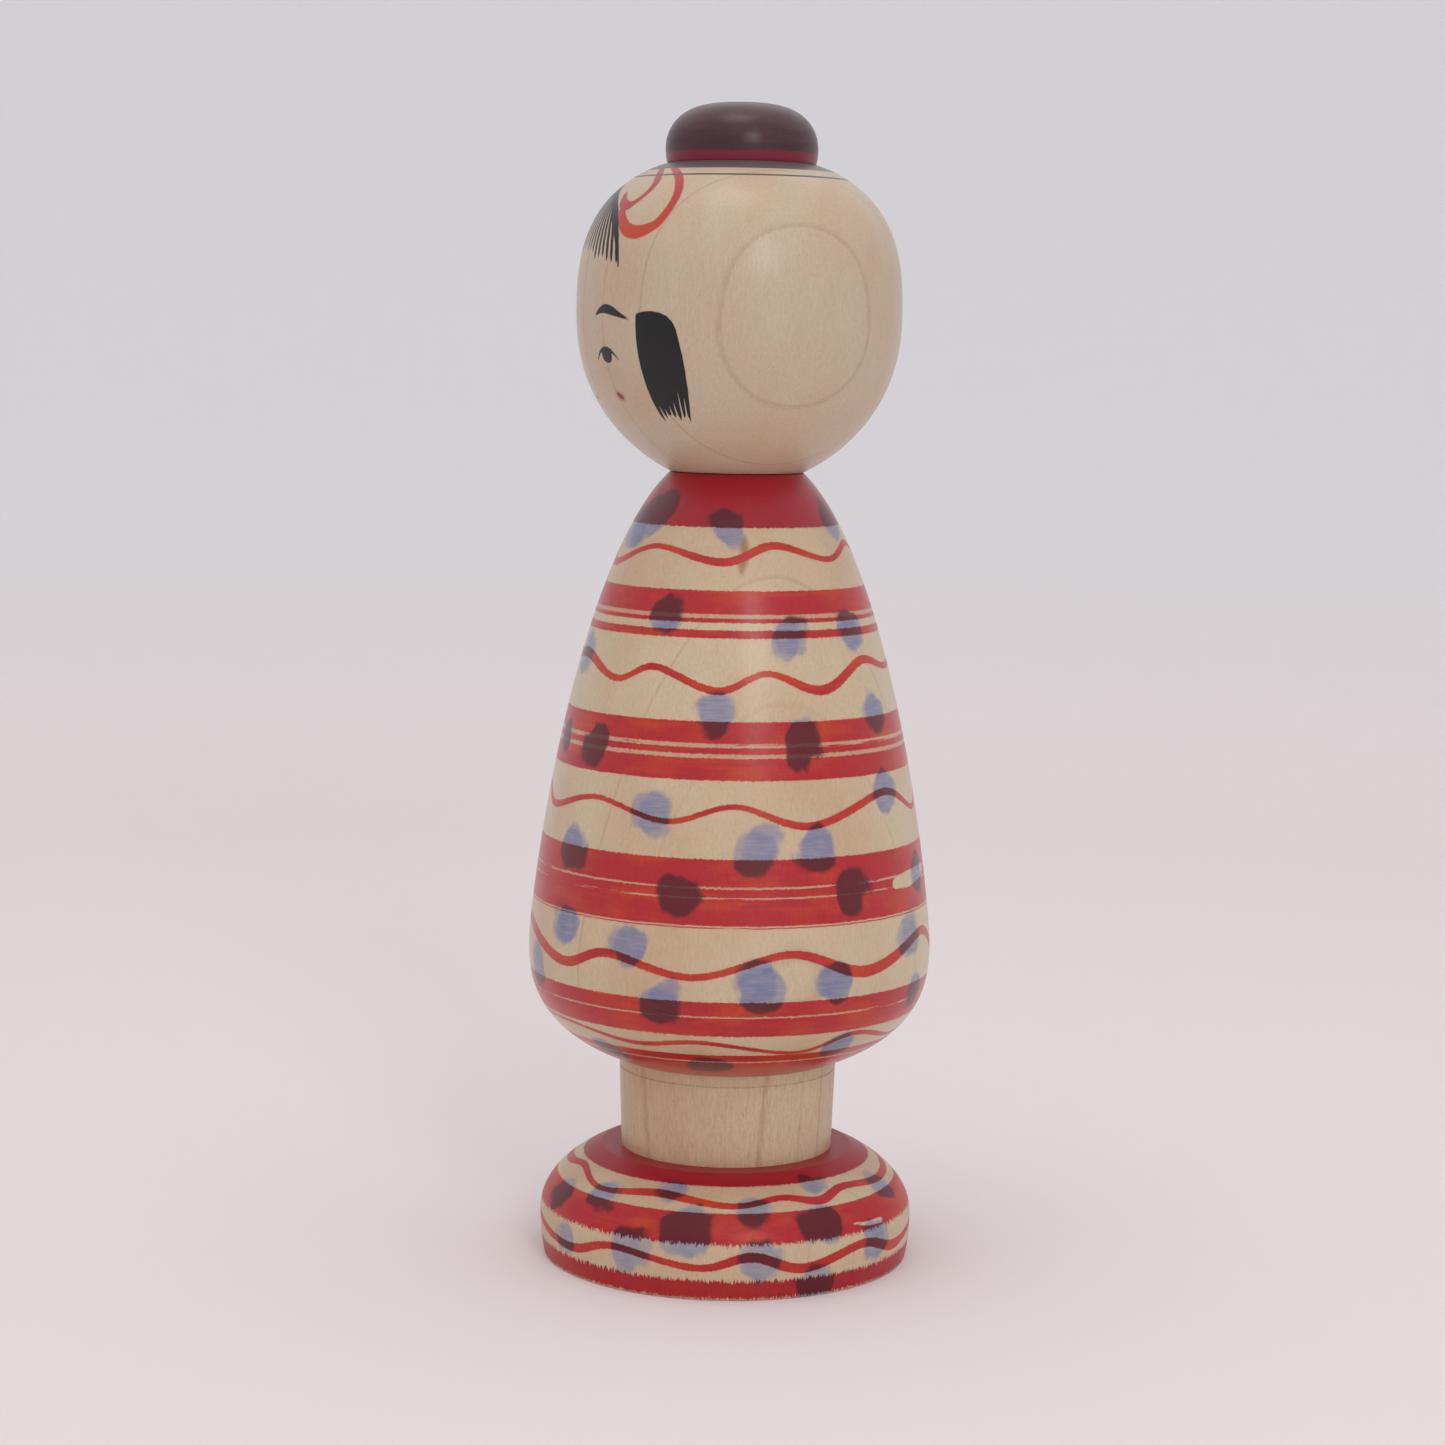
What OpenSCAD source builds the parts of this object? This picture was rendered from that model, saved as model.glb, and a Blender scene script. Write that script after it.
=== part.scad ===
// Turned wooden kokeshi doll on a round foot, 6 sun (182 mm) tall.
// Five turned pieces stand on one upright axis. The foot, the stem and the body are glued together,
// and the topknot is pegged into the crown. The head snaps into the body by a beaded tenon and turns.
// Origin: centre of the foot's flat underside. +Z is up and the face looks along -Y.
// Each outline is two curves that run from the widest ring of a piece to its two ends.
// A curve's shape pair says how late the curve turns in, then how square its end is.

/* [Foot] */
// Height of the foot
foot_h = 17.6; // [12:0.1:30]
// Widest diameter of the foot
foot_d = 59.4; // [48:0.1:80]
// Height of the widest ring above the underside
foot_swell_h = 7; // [3:0.5:9]
// How far the underside's edge lies inside the widest ring
foot_inset = 0.7; // [0.2:0.1:3]
// Width of the flat ledge round the stem
foot_ledge = 3.2; // [0.5:0.1:5]
// Shape of the foot's curve below the widest ring
foot_below = [2.2, 2.2]; // [1:0.01:4]
// Shape of the foot's curve above the widest ring
foot_above = [2, 2.2]; // [1:0.01:4]

/* [Stem] */
// Length of the stem between the foot and the body
stem_len = 14.6; // [8:0.1:30]
// Diameter of the stem at its top
stem_top_d = 34.6; // [26:0.1:44]
// Diameter of the stem at its bottom
stem_bottom_d = 33.6; // [26:0.1:44]
// Diameter of the tenons at the stem's two ends
stem_tenon_d = 18; // [10:0.5:24]
// Length of the tenon that goes up into the body
stem_tenon_up = 14; // [8:0.5:20]
// Length of the tenon that goes down into the foot
stem_tenon_down = 9; // [6:0.5:11]
// Distance of the scored line from the stem's top
score_drop = 1.7; // [0.5:0.1:4]
// Width of the scored line
score_w = 0.3; // [0.2:0.1:1]
// Depth of the scored line
score_depth = 0.25; // [0.1:0.05:0.5]

/* [Body] */
// Height of the body
body_h = 92.8; // [60:0.1:140]
// Widest diameter of the body
body_d = 63.8; // [50:0.1:90]
// Height of the widest ring above the body's underside
body_swell_h = 18.8; // [12:0.1:30]
// How far the body's underside stands out past the stem
body_lip = 0.2; // [0:0.05:1]
// Shape of the body's curve below the widest ring
body_below = [2.7, 1.96]; // [1:0.01:4]
// Shape of the body's curve above the widest ring
body_above = [1.26, 2.44]; // [1:0.01:4]

/* [Neck] */
// Diameter of the ring where the head sits on the body
neck_d = 21; // [17.5:0.1:28]
// Diameter of the head's tenon
tenon_d = 15; // [10:0.1:18]
// Length of the head's tenon
tenon_len = 18; // [10:0.5:24]
// How far the snap bead stands out from the tenon
bead_rise = 0.5; // [0.2:0.1:1]
// Length of the snap bead
bead_len = 4; // [3:0.5:6]
// Distance of the snap bead from the head's underside
bead_drop = 6; // [3:0.5:8]
// Open line between the head and the body
neck_gap = 0.1; // [0.05:0.05:0.3]
// Radial clearance round the tenon
turn_clearance = 0.05; // [0.02:0.01:0.1]

/* [Head] */
// Height of the head without its tenon
head_h = 47.5; // [35:0.1:70]
// Widest diameter of the head
head_d = 50.8; // [40:0.1:70]
// Height of the widest ring above the head's underside
head_swell_h = 24.8; // [18:0.1:32]
// Shape of the head's curve below the widest ring
head_below = [2.25, 1.74]; // [1:0.01:4]
// Shape of the head's curve above the widest ring
head_above = [2.62, 2.47]; // [1:0.01:4]

/* [Topknot] */
// Height of the topknot
topknot_h = 9.4; // [6:0.1:16]
// Widest diameter of the topknot
topknot_d = 23.7; // [18:0.1:32]
// Height of the widest ring above the crown
topknot_swell_h = 2.2; // [1:0.1:4]
// How far the topknot's foot is cut in under the widest ring
topknot_undercut = 0.3; // [0.1:0.1:1]
// Diameter of the topknot's peg
peg_d = 8; // [5:0.5:12]
// Length of the topknot's peg
peg_len = 10; // [6:0.5:16]
// Shape of the topknot's curve below the widest ring
topknot_below = [2, 2]; // [1:0.01:4]
// Shape of the topknot's curve above the widest ring
topknot_above = [2.1, 3.1]; // [1:0.01:4]

/* [Glue joints] */
// Radial clearance round a glued tenon or peg
glue_clearance = 0.1; // [0.05:0.01:0.2]
// Empty space left past the end of a tenon or peg
end_space = 0.5; // [0.2:0.1:1]

/* [Hidden] */
$fn = 128;
curve_steps = 22;
tip_r = 0.6;
cut_past = 1;
stem_z = foot_h;
body_z = stem_z + stem_len;
neck_z = body_z + body_h;
head_z = neck_z + neck_gap;
topknot_z = head_z + head_h;
topknot_foot_r = topknot_d / 2 - topknot_undercut;

// Points [radius, height] of one curve, from the widest ring to the end ring.
// They lie closer together towards the end, where the curve turns in.
function turned_curve(wide, end, shape) =
    let (reach = (end[1] - wide[1]) / pow(1 - pow(end[0] / wide[0], shape[1]), 1 / shape[0]))
    [for (i = [0:curve_steps])
        let (h = (end[1] - wide[1]) * sin(90 * i / curve_steps))
        [wide[0] * pow(1 - pow(h / reach, shape[0]), 1 / shape[1]), wide[1] + h]];

function reversed(points) = [for (i = [len(points) - 1:-1:0]) points[i]];

// Solid of a turned piece: two curves that share the widest ring, closed at flat ends
module turned(low, wide, high, below, above) {
    low_curve = reversed(turned_curve(wide, low, below));
    high_curve = turned_curve(wide, high, above);
    outline = concat(
        [[0, low[1]]],
        low_curve,
        [for (i = [1:curve_steps]) high_curve[i]],
        [[0, high[1]]]
    );
    rotate_extrude() polygon(outline);
}

// Upright rod or bore of radius r from height low to height high
module rod(r, low, high) {
    translate([0, 0, low]) cylinder(r = r, h = high - low);
}

// The head's tenon, grown by a clearance to make its socket
module beaded_tenon(clearance, low) {
    r = tenon_d / 2 + clearance;
    slope = bead_len / 4;
    bead_top = neck_z - bead_drop + clearance;
    bead_bottom = bead_top - bead_len - 2 * clearance;
    rod(r, low, head_z);
    translate([0, 0, bead_top - slope]) cylinder(r1 = r + bead_rise, r2 = r, h = slope);
    rod(r + bead_rise, bead_bottom + slope, bead_top - slope);
    translate([0, 0, bead_bottom]) cylinder(r1 = r, r2 = r + bead_rise, h = slope);
}

// Domed foot with a blind bore for the stem's lower tenon
module foot() {
    color("#B8404A") difference() {
        turned(
            [foot_d / 2 - foot_inset, 0],
            [foot_d / 2, foot_swell_h],
            [stem_bottom_d / 2 + foot_ledge, foot_h],
            foot_below, foot_above
        );
        rod(stem_tenon_d / 2 + glue_clearance, foot_h - stem_tenon_down - end_space, foot_h + cut_past);
    }
}

// Plain stem with a tenon at each end and one scored line near its top
module stem() {
    score_z = body_z - score_drop;
    color("#CDB494") difference() {
        union() {
            translate([0, 0, stem_z]) cylinder(d1 = stem_bottom_d, d2 = stem_top_d, h = stem_len);
            rod(stem_tenon_d / 2, stem_z - stem_tenon_down, body_z + stem_tenon_up);
        }
        rotate_extrude() translate([stem_top_d / 2 - score_depth, score_z])
            square([score_depth + cut_past, score_w]);
    }
}

// Drop-shaped body with the head's socket above and a bore for the stem below
module body() {
    color("#B23440") difference() {
        turned(
            [stem_top_d / 2 + body_lip, body_z],
            [body_d / 2, body_z + body_swell_h],
            [neck_d / 2, neck_z],
            body_below, body_above
        );
        rod(stem_tenon_d / 2 + glue_clearance, body_z - cut_past, body_z + stem_tenon_up + end_space);
        beaded_tenon(turn_clearance, head_z - tenon_len - end_space);
    }
}

// Round head, made in one with its beaded tenon, with a peg bore in the crown
module head() {
    color("#D2BA9A") {
        difference() {
            turned(
                [neck_d / 2, head_z],
                [head_d / 2, head_z + head_swell_h],
                [topknot_foot_r, topknot_z],
                head_below, head_above
            );
            rod(peg_d / 2 + glue_clearance, topknot_z - peg_len - end_space, topknot_z + cut_past);
        }
        beaded_tenon(0, head_z - tenon_len);
    }
}

// Flattened ball that sits on the crown by a peg
module topknot() {
    color("#5A3F42") {
        turned(
            [topknot_foot_r, topknot_z],
            [topknot_d / 2, topknot_z + topknot_swell_h],
            [tip_r, topknot_z + topknot_h],
            topknot_below, topknot_above
        );
        rod(peg_d / 2, topknot_z - peg_len, topknot_z + cut_past);
    }
}

foot();
stem();
body();
head();
topknot();
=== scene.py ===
import math

import bpy
import numpy as np
from mathutils import Matrix, Vector, kdtree


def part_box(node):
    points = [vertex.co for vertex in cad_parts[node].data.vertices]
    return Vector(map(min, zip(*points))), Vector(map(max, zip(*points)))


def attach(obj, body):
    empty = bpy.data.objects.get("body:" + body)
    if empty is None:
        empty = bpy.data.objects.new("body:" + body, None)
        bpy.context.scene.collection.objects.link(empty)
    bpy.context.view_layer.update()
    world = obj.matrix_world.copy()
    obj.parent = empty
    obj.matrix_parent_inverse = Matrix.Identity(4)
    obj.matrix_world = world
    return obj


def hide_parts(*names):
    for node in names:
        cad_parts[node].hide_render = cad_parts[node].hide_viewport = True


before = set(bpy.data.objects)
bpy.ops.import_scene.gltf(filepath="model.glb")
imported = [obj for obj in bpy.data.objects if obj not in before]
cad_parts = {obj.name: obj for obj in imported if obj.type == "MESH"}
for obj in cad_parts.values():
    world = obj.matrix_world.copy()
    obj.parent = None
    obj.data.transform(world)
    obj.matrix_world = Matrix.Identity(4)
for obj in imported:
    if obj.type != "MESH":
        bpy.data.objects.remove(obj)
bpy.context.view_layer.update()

# ---------------------------------------------------------------------------------------------
# FOOT. A domed disc of mizuki, a pale fine-grained dogwood, turned on the lathe and glued to the
# stem's lower tenon. Red dye was held against it while it spun, waves and dabs were brushed on by
# hand, and the wood was rubbed with wax, so the grain shows through the colour.

MM = 0.001


def linear(code):
    """A colour written as sRGB hex, turned linear."""
    parts = [int(code[i:i + 2], 16) / 255 for i in (1, 3, 5)]
    return tuple(c / 12.92 if c <= 0.04045 else ((c + 0.055) / 1.055) ** 2.4 for c in parts) + (1.0,)


def put(tree, kind, sockets=None, **settings):
    """Adds a node. Each socket is given a value, or an output or node that is linked to it.

    A node stands for its first output.
    """
    made = tree.nodes.new(kind)
    for name, value in settings.items():
        setattr(made, name, value)
    for name, value in (sockets or {}).items():
        if isinstance(value, bpy.types.Node):
            value = value.outputs[0]
        if isinstance(value, bpy.types.NodeSocket):
            tree.links.new(value, made.inputs[name])
        else:
            made.inputs[name].default_value = value
    return made


def turned_curve(wide, end, shape, step=0.3):
    """Rows [radius, height] of one curve of a turned piece, from the widest ring to its end ring.

    The rule is the design's own: radius = wide * (1 - (height / reach) ^ a) ^ (1 / b).
    """
    reach = (end[1] - wide[1]) / (1 - (end[0] / wide[0]) ** shape[1]) ** (1 / shape[0])
    rise = (end[1] - wide[1]) * np.sin(np.linspace(0, math.pi / 2, 900))
    radius = wide[0] * (1 - (rise / reach) ** shape[0]) ** (1 / shape[1])
    return evenly(np.column_stack([radius, wide[1] + rise]), step)


def evenly(points, step):
    """The same line with a point about every step millimetres."""
    points = np.asarray(points, float)
    along = np.append(0, np.cumsum(np.hypot(*np.diff(points, axis=0).T)))
    marks = np.linspace(0, along[-1], max(2, round(along[-1] / step) + 1))
    return np.column_stack([np.interp(marks, along, points[:, i]) for i in (0, 1)])


def straight(*corners):
    """Straight lines from corner to corner of an outline.

    A corner is (radius, height, spacing of the points on the line to the next corner).
    """
    return [evenly([a[:2], b[:2]], a[2]) for a, b in zip(corners, corners[1:])]


def eased(lines, soft=0.25):
    """Joins the lines of an outline, with the sharp edge between two lines sanded round."""
    rows = [lines[0]]
    for after in lines[1:]:
        before = rows[-1]
        corner = after[0]
        keep_before = np.hypot(*(before - corner).T) > soft
        keep_after = np.hypot(*(after - corner).T) > soft
        start, stop = before[keep_before][-1:], after[keep_after][:1]
        start = corner + (start - corner) * soft / np.hypot(*(start - corner).T)
        stop = corner + (stop - corner) * soft / np.hypot(*(stop - corner).T)
        t = np.linspace(0, 1, 5)[:, None]
        bend = start * (1 - t) ** 2 + 2 * corner * t * (1 - t) + stop * t ** 2
        rows[-1:] = [before[keep_before], bend, after[keep_after]]
    return np.vstack(rows)


def lathe_tree():
    """Geometry nodes that spin an outline round the upright axis and close its seam and poles."""
    tree = bpy.data.node_groups.new("lathe", "GeometryNodeTree")
    face = tree.interface
    face.new_socket("Geometry", in_out="OUTPUT", socket_type="NodeSocketGeometry")
    face.new_socket("Outline", in_out="INPUT", socket_type="NodeSocketObject")
    face.new_socket("Rows", in_out="INPUT", socket_type="NodeSocketInt")
    face.new_socket("Columns", in_out="INPUT", socket_type="NodeSocketInt")
    face.new_socket("Front spacing", in_out="INPUT", socket_type="NodeSocketFloat")
    face.new_socket("Material", in_out="INPUT", socket_type="NodeSocketMaterial")
    given = put(tree, "NodeGroupInput").outputs
    edges = put(tree, "ShaderNodeMath", {0: given["Columns"], 1: 1.0}, operation="ADD")
    grid = put(tree, "GeometryNodeMeshGrid", {"Vertices X": edges, "Vertices Y": given["Rows"]})
    # across runs from -0.5 to 0.5 round the piece, with 0 at its front
    position = put(tree, "GeometryNodeInputPosition")
    place = put(tree, "ShaderNodeSeparateXYZ", {0: position})
    across, up = place.outputs["X"], place.outputs["Y"]
    # columns lie closer at the front: turn = spacing * t + (1 - spacing) * 4 t^3
    cubed = put(tree, "ShaderNodeMath", {0: across, 1: 3.0}, operation="POWER")
    rest = put(tree, "ShaderNodeMath", {0: 1.0, 1: given["Front spacing"]}, operation="SUBTRACT")
    four = put(tree, "ShaderNodeMath", {0: rest, 1: 4.0}, operation="MULTIPLY")
    far = put(tree, "ShaderNodeMath", {0: cubed, 1: four}, operation="MULTIPLY")
    turn = put(tree, "ShaderNodeMath", {0: across, 1: given["Front spacing"], 2: far},
               operation="MULTIPLY_ADD")
    angle = put(tree, "ShaderNodeMath", {0: turn, 1: 2 * math.pi}, operation="MULTIPLY")
    last = put(tree, "ShaderNodeMath", {0: given["Rows"], 1: 1.0}, operation="SUBTRACT")
    share = put(tree, "ShaderNodeMath", {0: up, 1: 0.5}, operation="ADD")
    row = put(tree, "ShaderNodeMath", {0: share, 1: last}, operation="MULTIPLY")
    whole = put(tree, "ShaderNodeMath", {0: row}, operation="ROUND")
    outline = put(tree, "GeometryNodeObjectInfo", {"Object": given["Outline"]})
    point = put(tree, "GeometryNodeSampleIndex",
                {"Geometry": outline.outputs["Geometry"], "Index": whole},
                data_type="FLOAT_VECTOR", domain="POINT")
    tree.links.new(position.outputs[0], point.inputs["Value"])
    ring = put(tree, "ShaderNodeSeparateXYZ", {0: point})
    sine = put(tree, "ShaderNodeMath", {0: angle}, operation="SINE")
    cosine = put(tree, "ShaderNodeMath", {0: angle}, operation="COSINE")
    x = put(tree, "ShaderNodeMath", {0: ring.outputs["X"], 1: sine}, operation="MULTIPLY")
    y = put(tree, "ShaderNodeMath", {0: ring.outputs["X"], 1: cosine}, operation="MULTIPLY")
    back = put(tree, "ShaderNodeMath", {0: y, 1: -1.0}, operation="MULTIPLY")
    spot = put(tree, "ShaderNodeCombineXYZ", {"X": x, "Y": back, "Z": ring.outputs["Z"]})
    mapped = put(tree, "GeometryNodeStoreNamedAttribute",
                 {"Geometry": grid.outputs["Mesh"], "Name": "OFBake", "Value": grid.outputs["UV Map"]},
                 data_type="FLOAT2", domain="CORNER")
    spun = put(tree, "GeometryNodeSetPosition", {"Geometry": mapped, "Position": spot})
    closed = put(tree, "GeometryNodeMergeByDistance", {"Geometry": spun, "Distance": 1e-6})
    sharp = put(tree, "GeometryNodeInputMeshEdgeAngle")
    gentle = put(tree, "ShaderNodeMath", {0: sharp, 1: math.radians(40)}, operation="LESS_THAN")
    smooth = put(tree, "GeometryNodeSetShadeSmooth",
                 {"Geometry": closed, "Shade Smooth": gentle}, domain="EDGE")
    real = put(tree, "GeometryNodeRealizeInstances", {"Geometry": smooth})
    done = put(tree, "GeometryNodeSetMaterial", {"Geometry": real, "Material": given["Material"]})
    put(tree, "NodeGroupOutput", {"Geometry": done})
    return tree


lathe = lathe_tree()


def turned_piece(name, outline, columns, front_spacing, material):
    """Spins an outline, in millimetres, into one closed mesh."""
    points = [(radius * MM, 0, height * MM) for radius, height in outline]
    template = bpy.data.objects.new(name + "_outline", bpy.data.meshes.new(name + "_outline"))
    template.data.from_pydata(points, [], [])
    holder = bpy.data.objects.new(name + "_spin", bpy.data.meshes.new(name + "_spin"))
    bpy.context.scene.collection.objects.link(holder)
    spin = holder.modifiers.new("spin", "NODES")
    spin.node_group = lathe
    values = {"Outline": template, "Rows": len(points), "Columns": columns,
              "Front spacing": front_spacing, "Material": material}
    for socket in lathe.interface.items_tree:
        if socket.in_out == "INPUT":
            spin[socket.identifier] = values[socket.name]
    evaluated = holder.evaluated_get(bpy.context.evaluated_depsgraph_get())
    mesh = bpy.data.meshes.new_from_object(evaluated)
    holder.modifiers.remove(spin)
    bpy.data.objects.remove(holder)
    bpy.data.objects.remove(template)
    piece = bpy.data.objects.new(name, mesh)
    bpy.context.scene.collection.objects.link(piece)
    return piece


def surface(piece):
    """Each vertex's angle from the front in degrees, radius, height and place, in millimetres."""
    place = np.zeros(len(piece.data.vertices) * 3, np.float32)
    piece.data.vertices.foreach_get("co", place)
    place = place.reshape(-1, 3).astype(float) / MM
    angle = np.degrees(np.arctan2(place[:, 0], -place[:, 1]))
    return angle, np.hypot(place[:, 0], place[:, 1]), place[:, 2], place


def keep(piece, name, values):
    """Stores a number for each vertex, for the material to read."""
    layer = piece.data.attributes.new(name, "FLOAT", "POINT")
    layer.data.foreach_set("value", np.asarray(values, np.float32))


def flowing(points, closed=False):
    """A smooth line through given points, each [angle, height, width]."""
    points = np.asarray(points, float)
    if closed:
        turned = np.array([[360, 0, 0]])
        points = np.vstack([points[-1:] - turned, points, points[:2] + turned])
    else:
        points = np.vstack([2 * points[:1] - points[1:2], points, 2 * points[-1:] - points[-2:-1]])
    t = np.linspace(0, 1, 40, endpoint=False)[:, None]  # 40 steps from point to point
    line = []
    for a, b, c, d in zip(points, points[1:], points[2:], points[3:]):
        bent = 2 * a - 5 * b + 4 * c - d + t * (3 * b - a - 3 * c + d)
        line.append(b + 0.5 * t * (c - a + t * bent))
    return np.vstack(line + [points[-2:-1]])


def brushed(place, strokes, side):
    """How far each vertex lies outside the edge of the nearest brush stroke, in millimetres."""
    line = np.vstack(strokes)
    radius = np.interp(line[:, 1], side[:, 1], side[:, 0])
    turn = np.radians(line[:, 0])
    tree = kdtree.KDTree(len(line))
    spots = np.column_stack([radius * np.sin(turn), -radius * np.cos(turn), line[:, 1]])
    for i, spot in enumerate(spots):
        tree.insert(spot, i)
    tree.balance()
    found = [tree.find(spot)[1:] for spot in place]
    return np.array([distance - line[i, 2] / 2 for i, distance in found])


def dabbed(piece, dabs, side, rng):
    """Distance outside the nearest dab's edge, and how full of dye that dab's brush was.

    A dab is two touches of a soft brush beside each other, paler where only one of them lies, and
    it fades out on one side. The painter pressed harder lower down, so the dabs grow wider there.
    """
    angle, radius, height, _ = surface(piece)
    run = np.append(0, np.cumsum(np.hypot(*np.diff(side, axis=0).T)))
    slope = np.interp(height, side[:, 1], run)
    edge = np.full(len(angle), 99.0)  # far outside every dab
    fill = np.zeros(len(angle))
    tall = 6.9
    square = 2.4  # 2 would be an ellipse
    for turn, level, size in dabs:
        tilt = math.radians(rng.uniform(-14, 14))
        across = (angle - turn + 180) % 360 - 180
        across = np.radians(across) * np.maximum(radius, 1)
        along = slope - np.interp(level, side[:, 1], run)
        x = across * math.cos(tilt) + along * math.sin(tilt)
        y = along * math.cos(tilt) - across * math.sin(tilt)
        wide = np.interp(level, [40, 118], [7.1, 5.4])
        a = wide * size * rng.uniform(0.9, 1.08) / 2
        b = tall * size * rng.uniform(0.92, 1.08) / 2
        shift_x = rng.uniform(-0.22, 0.22) * a
        shift_y = rng.uniform(-0.18, 0.18) * b
        fades_to = rng.choice([-1, 1])
        first = (np.abs(x - shift_x) / a) ** square + (np.abs(y - shift_y) / (0.85 * b)) ** square
        second = (np.abs(x + shift_x) / (0.8 * a)) ** square + (np.abs(y + shift_y) / b) ** square
        first, second = first ** (1 / square), second ** (1 / square)
        distance = (np.minimum(first, second) - 1) * min(a, b)
        single = np.clip((np.maximum(first, second) - 1) * min(a, b) / 0.6, 0, 1)
        distance = distance * (1 - 0.5 * np.clip(1.4 * x / a * fades_to, 0, 1))
        nearer = distance < edge
        edge[nearer] = distance[nearer]
        fill[nearer] = (rng.uniform(0.80, 1.0) * (1 - 0.3 * single))[nearer]
    return edge, fill


def round_the_back(marks, rng, sway, lift):
    """Given marks, and the same again half a turn on with a little sway, for the other side."""
    marks = np.asarray(marks, float)
    again = marks.copy()
    again[:, 0] += 180 + rng.uniform(-sway, sway, len(marks))
    again[:, 1] += rng.uniform(-lift, lift, len(marks))
    return np.vstack([marks, again])


def waves_round(waves, widths, rng):
    """Each hand-brushed wave as a closed line, its width changing as the brush was pressed."""
    strokes = []
    for wave, width in zip(waves, widths):
        points = round_the_back(wave, rng, 3, 0.3)
        points = points[np.argsort(points[:, 0])]
        pressed = rng.uniform(0.75, 1.25, len(points)) * width
        strokes.append(flowing(np.column_stack([points, pressed]), closed=True))
    return strokes


def store_marks(piece, side, rng, waves, widths, knot, bare, dabs, lift):
    """Stores where the waves, the pin knot, the bare patch and the dabs of a painted piece lie.

    Lift is how far a repeated dab may move up or down, in millimetres.
    """
    place = surface(piece)[3]
    keep(piece, "wave", brushed(place, waves_round(waves, widths, rng), side))
    keep(piece, "pin_knot", brushed(place, [flowing(knot)], side))
    keep(piece, "bare", brushed(place, [flowing(bare)], side))
    edge, load = dabbed(piece, round_the_back(dabs, rng, 8, lift), side, rng)
    keep(piece, "dab", edge)
    keep(piece, "dab_load", load)


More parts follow.
